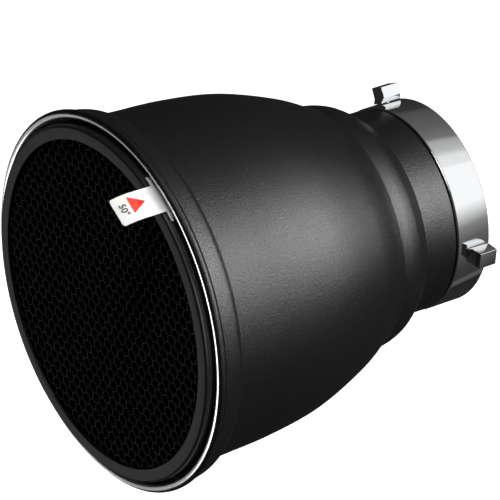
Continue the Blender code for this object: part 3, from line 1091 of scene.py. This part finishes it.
@dataclass
class LeafSprings:
    """Three bent leaves that grip the reflector's seat, each on two rivets."""

    axis: Axis
    band: float                    # outer radius of the band they sit on
    crown: float
    depth: float
    rivet_tip: float               # radius where the rivets end inside
    angles: Sequence[float] = (50.0, 170.0, 290.0)
    thickness: float = 0.0005
    width: float = 0.0064
    half_angle: float = 13.0
    foot_angle: float = 4.5
    round_end: float = 1.6         # degrees over which an end narrows
    end_share: float = 0.3         # how much narrower its tip is
    steps: int = 40
    gap: float = GAP
    rivet_spacing: float = 0.0032

    def build(self) -> None:
        """Makes the leaves and their rivets."""
        for number, angle in enumerate(self.angles, 1):
            leaf = self.leaf()
            leaf.transform(self.axis.seat(angle, 0.0, self.depth))
            piece_from(f"leaf_spring_{number}", leaf, (SPRING_STEEL,), Body.GRID,
                       [f"spring_clip_{number}"])
        number = 0
        seat = self.band + 2 * self.gap + self.thickness
        for angle in self.angles:
            for side in (-1, 1):
                number += 1
                rivet = dome_rivet(seat - self.rivet_tip)
                place = self.axis.seat(angle - self.half_angle + self.foot_angle / 2, seat,
                                       self.depth + side * self.rivet_spacing / 2)
                rivet.transform(place @ Matrix.Rotation(radians(-90.0), 4, "Y"))
                piece_from(f"leaf_rivet_{number}", rivet, (ZINC,), Body.GRID,
                           [f"spring_rivet_{number}"])

    def leaf(self) -> bpy.types.Mesh:
        """Makes a leaf with a flat foot at each end, bent round the band.

        Returns:
            The mesh, with its middle away from the axis along X.
        """
        bm = bmesh.new()
        low = self.band + self.gap
        rise = self.crown - self.thickness - low
        bend = self.half_angle - self.foot_angle
        rows = []
        for i in range(self.steps + 1):
            angle = self.half_angle * (2 * i / self.steps - 1)
            share = min(abs(angle) / bend, 1.0)
            radius = low + rise * (0.5 + 0.5 * cos(pi * share))
            end = max(abs(angle) - self.half_angle + self.round_end, 0.0) / self.round_end
            narrow = self.end_share * (1.0 - sqrt(max(1.0 - end * end, 0.0)))
            half = self.width / 2 * (1.0 - narrow)
            turn = radians(angle)
            top = radius + self.thickness
            rows.append([bm.verts.new((r * cos(turn), r * sin(turn), side * half))
                         for r, side in ((radius, -1), (radius, 1), (top, 1), (top, -1))])
        for row, following in zip(rows, rows[1:]):
            for i in range(4):
                j = (i + 1) % 4
                bm.faces.new((row[i], row[j], following[j], following[i]))
        bm.faces.new(rows[0])
        bm.faces.new(rows[-1])
        return mesh_of(bm, "leaf", 40.0)


def dome_rivet(reach: float) -> bpy.types.Mesh:
    """Makes a small rivet.

    Args:
        reach: The shank's length.

    Returns:
        A mesh that seats at the origin, with its shank along +Z and its domed head below.
    """
    head, height, shank, crown = 0.0014, 0.0004, 0.0008, 0.00012
    outline = [(crown, -height)]
    outline += [(head * sin(radians(a)), -height * cos(radians(a))) for a in range(15, 90, 15)]
    outline += [(head, 0.0), (shank, 0.0), (shank, reach)]
    return mesh_of(lathe(outline, 28), "rivet")


# --------------------------------------------------------------------------- the pull tab

@dataclass
class PullTab:
    """The film strip: riveted to the band, out past the rim, then forwards to be pulled."""

    axis: Axis
    angle: float
    hinge_radius: float
    hinge_depth: float
    tip: float                     # depth of the free end, negative
    band: float                    # outer radius of the front frame's band
    band_end: float
    lip_middle: float
    rivet_tip: float
    width: float = 0.0139
    head_width: float = 0.0240
    head_start: float = 0.0007
    head_end: float = -0.0010
    thickness: float = 0.00034
    straight: float = 0.0079       # the strip runs straight this far past the hinge line
    curl: float = 20.0
    corner: float = 0.0010
    bend_before: float = 0.0010    # where the flexing part starts and ends beside the hinge line
    bend_after: float = 0.0016
    rivet_share: float = 0.30      # each rivet's distance from the middle, as a share of width
    rivet_back: float = 0.0010
    foot_stack: float = 0.0011     # what lies between the band and a rivet's head
    columns: int = 10
    rows: int = 40
    arm_steps: int = 5
    arm_droop: float = 0.0008
    arm_taper: float = 0.35        # how much the last quarter of an arm narrows
    ink_lift: float = 0.00003
    arrow: tuple[Point, ...] = ((-0.0052, 0.0077), (0.0032, 0.0077), (-0.0008, 0.0150))
    figures: str = "50°"
    figures_size: float = 0.0043
    figures_weight: float = 0.00004
    figures_place: Point = (0.0001, 0.0026)

    def build(self) -> None:
        """Makes the film, its two rivets and the print on it."""
        film = self.film()
        piece = bpy.data.objects.new("tab_film", film)
        film.materials.append(WHITE_FILM.material())
        bpy.context.scene.collection.objects.link(piece)
        hinge = (self.angle, self.hinge_radius)
        self.axis.point(*hinge, self.hinge_depth + self.bend_before)
        self.axis.point(*hinge, self.hinge_depth - self.bend_after)
        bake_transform(piece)
        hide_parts("tab_foot", "pull_tab")
        LOG.info("tab_film: %d faces bend from grid to tab", len(film.polygons))
        spread = degrees(self.width * self.rivet_share / self.band)
        seat = self.band + self.foot_stack
        for number, side in enumerate((-1, 1), 1):
            rivet = dome_rivet(seat - self.rivet_tip)
            place = self.axis.seat(self.angle + side * spread, seat,
                                   self.lip_middle + self.rivet_back)
            rivet.transform(place @ Matrix.Rotation(radians(-90.0), 4, "Y"))
            piece_from(f"tab_fixing_{number}", rivet, (ZINC,), Body.GRID,
                       [f"tab_rivet_{number}"])
        self.print_marks()

    def along(self, depth_run: float) -> tuple[float, float, float]:
        """Gives the free strip's place and lean at a distance past the hinge line.

        Args:
            depth_run: Distance along the strip from the hinge line.

        Returns:
            Radius, depth, and lean inwards in radians.
        """
        free = self.hinge_depth - self.tip
        bend_radius = (free - self.straight) / sin(radians(self.curl))
        past = depth_run - self.straight
        if past <= 0.0:
            return self.hinge_radius, self.hinge_depth - depth_run, 0.0
        lean = past / bend_radius
        return (self.hinge_radius - bend_radius * (1 - cos(lean)),
                self.hinge_depth - self.straight - bend_radius * sin(lean), lean)

    def free_length(self) -> float:
        """Gives the strip's length from the hinge line to its end."""
        free = self.hinge_depth - self.tip
        return self.straight + (free - self.straight) * radians(self.curl) / sin(radians(self.curl))

    def root(self) -> list[Point]:
        """Draws the part under the rivets and on out to the T-shaped head.

        Returns:
            Places from the band's rear edge to the head's rear edge.
        """
        on_band = self.band + GAP + self.thickness / 2
        out = self.hinge_radius
        return flowing([
            (on_band, self.band_end - 0.0004), (on_band, 0.0090), (on_band, 0.0066),
            ((on_band + out) / 2, 0.0052), (out, 0.0038), (out, self.head_start)], 4)

    def head(self) -> list[Point]:
        """Draws the head's stretch of the strip, from its rear edge to its front edge."""
        run = self.head_end - self.head_start
        return [(self.hinge_radius, self.head_start + run * i / 4) for i in range(1, 5)]

    def strip(self) -> list[tuple[Point, float]]:
        """Draws the free strip in front of the head.

        Returns:
            Each row's place and half width; the last rows narrow for the rounded corners.
        """
        length = self.free_length()
        first = self.hinge_depth - self.head_end
        found = []
        for i in range(1, self.rows + 1):
            run = first + (length - first) * (i / self.rows)
            radius, depth, _ = self.along(run)
            left = length - run
            inset = 0.0
            if left < self.corner:
                inset = self.corner - sqrt(max(self.corner ** 2 - (self.corner - left) ** 2, 0.0))
            found.append(((radius, depth), self.width / 2 - inset))
        return found

    def film(self) -> bpy.types.Mesh:
        """Makes the whole film as one sheet with thickness.

        Returns:
            The mesh, in world coordinates.
        """
        root, head = self.root(), self.head()
        rows = [(place, self.width / 2) for place in [*root, *head]] + self.strip()
        bm = bmesh.new()
        sheet = [[bm.verts.new((radius, half * (2 * j / self.columns - 1), depth))
                  for j in range(self.columns + 1)] for (radius, depth), half in rows]
        self.join(bm, sheet)
        beside = slice(len(root) - 1, len(root) + len(head))
        for side, edge in ((-1, 0), (1, self.columns)):
            self.join(bm, [self.arm_row(bm, row[edge], place, side) for row, (place, _) in
                           zip(sheet[beside], rows[beside])])
        bmesh.ops.recalc_face_normals(bm, faces=bm.faces)
        bmesh.ops.solidify(bm, geom=bm.faces[:], thickness=self.thickness)
        mesh = mesh_of(bm, "tab_film", 50.0)
        mesh.transform(self.axis.seat(self.angle))
        return mesh

    def arm_row(self, bm: bmesh.types.BMesh, edge: bmesh.types.BMVert, place: Point,
                side: int) -> list[bmesh.types.BMVert]:
        """Makes one row of points along an arm of the T-shaped head.

        Args:
            bm: The film.
            edge: The strip's own point that the row starts from.
            place: That row's radius and depth.
            side: -1 or 1, for the arm's side.

        Returns:
            The row, from the strip out to the arm's tip.
        """
        radius, depth = place
        reach = (self.head_width - self.width) / 2
        middle = (self.head_start + self.head_end) / 2
        row = [edge]
        for k in range(1, self.arm_steps + 1):
            share = k / self.arm_steps
            shrink = 1.0 - self.arm_taper * max(share - 0.75, 0.0) / 0.25
            row.append(bm.verts.new((radius - self.arm_droop * share * share,
                                     side * (self.width / 2 + reach * share),
                                     middle + (depth - middle) * shrink)))
        return row

    @staticmethod
    def join(bm: bmesh.types.BMesh, rows: list[list[bmesh.types.BMVert]]) -> None:
        """Fills the space between each row of points and the next with faces.

        Args:
            bm: Where the faces go.
            rows: Rows of as many points each.
        """
        for row, following in zip(rows, rows[1:]):
            for j in range(len(row) - 1):
                bm.faces.new((row[j], row[j + 1], following[j + 1], following[j]))

    def printed(self, name: str, flat: bmesh.types.BMesh, finish: Finish) -> bpy.types.Object:
        """Lays a flat mark on the strip's outer face.

        Args:
            name: The piece's name.
            flat: Faces in the plane: X runs across the strip, Y from the free end to the rim.
            finish: The ink.

        Returns:
            The printed piece.
        """
        length = self.free_length()
        for i in range(1, self.rows):
            line = length * i / self.rows
            geometry = flat.verts[:] + flat.edges[:] + flat.faces[:]
            bmesh.ops.bisect_plane(flat, geom=geometry, plane_co=(0, line, 0), plane_no=(0, 1, 0))
        bmesh.ops.triangulate(flat, faces=flat.faces[:])
        for vert in flat.verts:
            across, from_end = vert.co.x, vert.co.y
            radius, depth, lean = self.along(length - from_end)
            lift = self.thickness / 2 + self.ink_lift
            vert.co = (radius + lift * cos(lean), across, depth - lift * sin(lean))
        bmesh.ops.solidify(flat, geom=flat.faces[:], thickness=self.ink_lift * 0.8)
        mesh = mesh_of(flat, name, 30.0)
        mesh.transform(self.axis.seat(self.angle))
        return piece_from(name, mesh, (finish,), Body.TAB, [])

    def print_marks(self) -> None:
        """Prints the arrow head and the beam angle."""
        arrow = bmesh.new()
        arrow.faces.new([arrow.verts.new((*corner, 0.0)) for corner in self.arrow])
        self.printed("arrow_mark", arrow, RED_INK)
        figures = bpy.data.curves.new("figures", "FONT")
        figures.body = self.figures
        figures.size = self.figures_size
        figures.align_x = "CENTER"
        figures.offset = self.figures_weight
        helper = bpy.data.objects.new("figures", figures)
        bpy.context.scene.collection.objects.link(helper)
        shape = bpy.data.meshes.new_from_object(
            helper.evaluated_get(bpy.context.evaluated_depsgraph_get()))
        bpy.data.objects.remove(helper)
        text = bmesh.new()
        text.from_mesh(shape)
        bmesh.ops.translate(text, verts=text.verts, vec=(*self.figures_place, 0.0))
        self.printed("angle_mark", text, BLACK_INK)


# --------------------------------------------------------------------------- the studio

@dataclass(frozen=True)
class SoftBox:
    """A soft rectangular lamp aimed at the object."""

    name: str
    azimuth: float                 # 0 is in front of the mouth, 90 to its right
    elevation: float
    distance: float
    width: float
    height: float
    radiance: float
    lit: Lit = Lit.NOT_CHROME      # the chrome is left to the tent's softer light

    def build(self, target: Vector) -> bpy.types.Object:
        """Hangs the lamp.

        Args:
            target: What it is aimed at.

        Returns:
            The lamp's object.
        """
        lamp = bpy.data.lights.new(self.name, "AREA")
        lamp.shape = "RECTANGLE"
        lamp.size, lamp.size_y = self.width, self.height
        lamp.energy = self.radiance * pi * self.width * self.height
        holder = bpy.data.objects.new(self.name, lamp)
        back = facing(self.azimuth, self.elevation)
        holder.location = target + back * self.distance
        holder.rotation_euler = back.to_track_quat("Z", "Y").to_euler()
        holder.visible_camera = False
        bpy.context.scene.collection.objects.link(holder)
        if self.lit is not Lit.ALL:
            holder.light_linking.receiver_collection = lit_pieces(self.lit)
        return holder


def lit_pieces(lit: Lit) -> bpy.types.Collection:
    """Gives the collection that narrows a lamp to some of the pieces.

    Args:
        lit: Which pieces the lamp lights.

    Returns:
        The collection, which is made the first time.
    """
    found = bpy.data.collections.get(lit.value)
    if found:
        return found
    chosen = bpy.data.collections.new(lit.value)
    finish = OUTSIDE_COAT if lit is Lit.SHELL else CHROME
    for piece in [obj for obj in bpy.data.objects if obj.type == "MESH"]:
        if finish.name in piece.data.materials:
            chosen.objects.link(piece)
    for entry in chosen.collection_objects:
        entry.light_linking.link_state = "EXCLUDE" if lit is Lit.NOT_CHROME else "INCLUDE"
    return chosen


def facing(azimuth: float, elevation: float) -> Vector:
    """Gives the direction from the object towards a place in the studio.

    Args:
        azimuth: 0 is in front of the mouth and 90 to its right.
        elevation: Angle above the level.

    Returns:
        A unit vector.
    """
    a, e = radians(azimuth), radians(elevation)
    return Vector((sin(a) * cos(e), -cos(a) * cos(e), sin(e)))


@dataclass
class Studio:
    """The pale floor and surround, the lamps and the camera."""

    centre: Vector
    azimuth: float = 53.9
    elevation: float = 28.7
    roll: float = 1.25
    distance: float = 1.771
    lens: float = 280.4
    sensor: float = 36.0
    aim_forward: float = -0.02233  # along the reflector's axis
    aim_right: float = 0.01865
    aim_up: float = 0.00895
    floor_drop: float = 0.55
    floor_radius: float = 7.0
    floor_curve: float = 2.2       # radius of the curve up into the wall
    wall_height: float = 9.0
    dim: float = 0.022             # the room's own light
    tent: Sequence[Point] = (      # angle round the axis, and how bright the cloth is there
        (-100.0, 0.025), (-62.0, 0.04), (-52.0, 0.09), (-24.0, 0.13), (-6.0, 0.20),
        (-1.0, 0.45), (12.0, 0.60), (19.0, 0.93), (29.0, 0.97), (32.0, 1.16), (74.0, 1.16),
        (98.0, 0.26), (112.0, 0.14), (148.0, 0.05), (163.0, 0.045), (166.0, 0.11), (172.0, 0.10),
        (175.0, 0.02))
    tent_front: tuple[float, float] = (0.0, 0.3)
    tent_rear: tuple[float, float] = (0.8, 0.98)
    lamps: Sequence[SoftBox] = field(default_factory=lambda: (
        SoftBox("key softbox", 138.0, 25.0, 1.3, 0.80, 0.85, 11.5),
        SoftBox("side strip", 97.0, 10.0, 1.4, 0.40, 1.0, 5.0),
        SoftBox("top strip", 62.0, 70.0, 1.4, 0.8, 0.35, 5.0),
        SoftBox("low left card", -96.0, -36.0, 1.5, 1.2, 0.70, 2.2, Lit.SHELL),
        SoftBox("low front card", -22.0, -28.0, 1.5, 0.6, 1.1, 4.2, Lit.SHELL),
        SoftBox("front fill", -45.0, -30.0, 1.5, 1.2, 1.0, 0.40),
        SoftBox("ring card", 16.0, 32.0, 1.5, 0.7, 0.7, 6.0, Lit.CHROME),
    ))

    def build(self) -> None:
        """Sets up everything round the object."""
        self.place_camera()
        for lamp in self.lamps:
            lamp.build(self.centre)
        self.surround()
        self.floor()

    def place_camera(self) -> None:
        """Puts the camera at its angle, with a slight roll."""
        back = facing(self.azimuth, self.elevation)
        level = Vector((cos(radians(self.azimuth)), sin(radians(self.azimuth)), 0.0))
        upright = back.cross(level)
        turn = radians(self.roll)
        right = level * cos(turn) + upright * sin(turn)
        up = upright * cos(turn) - level * sin(turn)
        target = self.centre + Vector((0.0, self.aim_forward, 0.0))
        target += right * self.aim_right + up * self.aim_up
        data = bpy.data.cameras.new("camera")
        data.lens, data.sensor_width = self.lens, self.sensor
        data.clip_start, data.clip_end = 0.05, 60.0
        camera = bpy.data.objects.new("camera", data)
        matrix = Matrix((right, up, back)).transposed().to_4x4()
        matrix.translation = target + back * self.distance
        camera.matrix_world = matrix
        bpy.context.scene.collection.objects.link(camera)
        bpy.context.scene.camera = camera

    def surround(self) -> None:
        """Sets the room: dim, with a bright band of tent cloth over the bayonet end."""
        world = bpy.data.worlds.new("room")
        world.use_nodes = True
        bench = Bench(world.node_tree)
        toward = bench.add("ShaderNodeTexCoord").outputs["Generated"]
        split = bench.add("ShaderNodeSeparateXYZ", Vector=toward)
        x, y, z = (split.outputs[i] for i in range(3))
        turn = bench.add("ShaderNodeMath", {"operation": "ARCTAN2"}, _0=x, _1=z).outputs[0]
        share = bench.add("ShaderNodeMapRange", Value=turn, From_Min=-pi, From_Max=pi).outputs[0]
        cloth = bench.add("ShaderNodeValToRGB", Fac=share)
        ramp = cloth.color_ramp
        for angle, glow in self.tent:
            stop = ramp.elements.new(0.5 + angle / 360.0)
            stop.color = (glow, glow, glow, 1.0)
        ramp.elements.remove(ramp.elements[0])
        ramp.elements[len(ramp.elements) - 1].color = (self.dim, self.dim, self.dim, 1.0)
        near = bench.spread(y, 0.0, 1.0, *self.tent_front)
        far = bench.spread(y, 1.0, 0.0, *self.tent_rear)
        cover = bench.add("ShaderNodeMath", {"operation": "MULTIPLY"}, _0=near, _1=far).outputs[0]
        room = bench.add("ShaderNodeMix", {"data_type": "RGBA"}, Factor=cover)
        room.inputs[6].default_value = (self.dim, self.dim, self.dim, 1.0)
        world.node_tree.links.new(cloth.outputs["Color"], room.inputs[7])
        world.node_tree.links.new(room.outputs[2],
                                  world.node_tree.nodes["Background"].inputs["Color"])
        bpy.context.scene.world = world
        bpy.context.scene.view_settings.view_transform = "Standard"

    def floor(self) -> None:
        """Makes the pale floor, which curves up into a wall all round."""
        rise, steps = self.floor_curve, 96
        outline = [(self.floor_radius - rise, 0.0)]
        outline += [(self.floor_radius - rise + rise * sin(radians(a)), rise - rise * cos(radians(a)))
                    for a in range(10, 91, 10)]
        outline.append((self.floor_radius, self.wall_height))
        bm = bmesh.new()
        rings = [[bm.verts.new((r * cos(2 * pi * i / steps), r * sin(2 * pi * i / steps), z))
                  for i in range(steps)] for r, z in outline]
        hub = bm.verts.new((0.0, 0.0, 0.0))
        for i in range(steps):
            j = (i + 1) % steps
            bm.faces.new((hub, rings[0][i], rings[0][j]))
            for low, high in zip(rings, rings[1:]):
                bm.faces.new((low[i], low[j], high[j], high[i]))
        mesh = mesh_of(bm, "floor", 60.0)
        mesh.transform(Matrix.Translation(
            Vector((self.centre.x, self.centre.y, self.centre.z - self.floor_drop))))
        mesh.materials.append(FLOOR_PAINT.material())
        floor = bpy.data.objects.new("floor", mesh)
        floor.visible_glossy = False
        floor.visible_diffuse = False
        floor.visible_shadow = False
        bpy.context.scene.collection.objects.link(floor)


# --------------------------------------------------------------------------- assembly


def main() -> None:
    """Builds every sub-assembly in order and then the studio."""
    logging.basicConfig(level=logging.INFO, format="%(name)s: %(message)s")
    shell_low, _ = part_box("reflector_shell")
    ring_low, ring_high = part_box("bayonet_ring")
    band_low, band_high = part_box("grid_front_frame")
    core_low, core_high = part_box("honeycomb_core")
    spring_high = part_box("spring_clip_1")[1]
    tab_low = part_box("pull_tab")[0]
    record = frame["record"]
    mounts = {mount["name"]: mount for mount in record["mounts"]}
    hinge = next(joint for joint in frame["joints"] if joint["name"] == "tab_flex")["pos_m"]

    axis = Axis(shell_low.y)
    length = ring_high.y - shell_low.y
    lugs = [angle_of(mounts[f"lug_face_{number}"]["pos_m"]) for number in (1, 2, 3)]
    front, rear = band_low.y - axis.crest_y, band_high.y - axis.crest_y
    ring_width = ring_high.y - ring_low.y
    shell = SpunShell(axis, length, ring_width)
    shell.build()
    BayonetRing(axis, length, ring_high.x, ring_width, lugs, shell.sleeve_bore()).build()
    holder = GridFrame(axis, front, rear, band_high.x)
    holder.build()
    HoneycombCore(axis, core_low.y - axis.crest_y, core_high.y - axis.crest_y,
                  core_high.x).build()
    LeafSprings(axis, band_high.x, spring_high.x, holder.lip_middle(), holder.rivet_tip()).build()
    PullTab(axis, angle_of(hinge), hypot(hinge[0], hinge[2]), hinge[1] - axis.crest_y,
            tab_low.y - axis.crest_y, band_high.x, rear, holder.lip_middle(),
            holder.rivet_tip()).build()
    Studio((CAD_BOX[0] + CAD_BOX[1]) / 2).build()


if __name__ == "__main__":
    main()
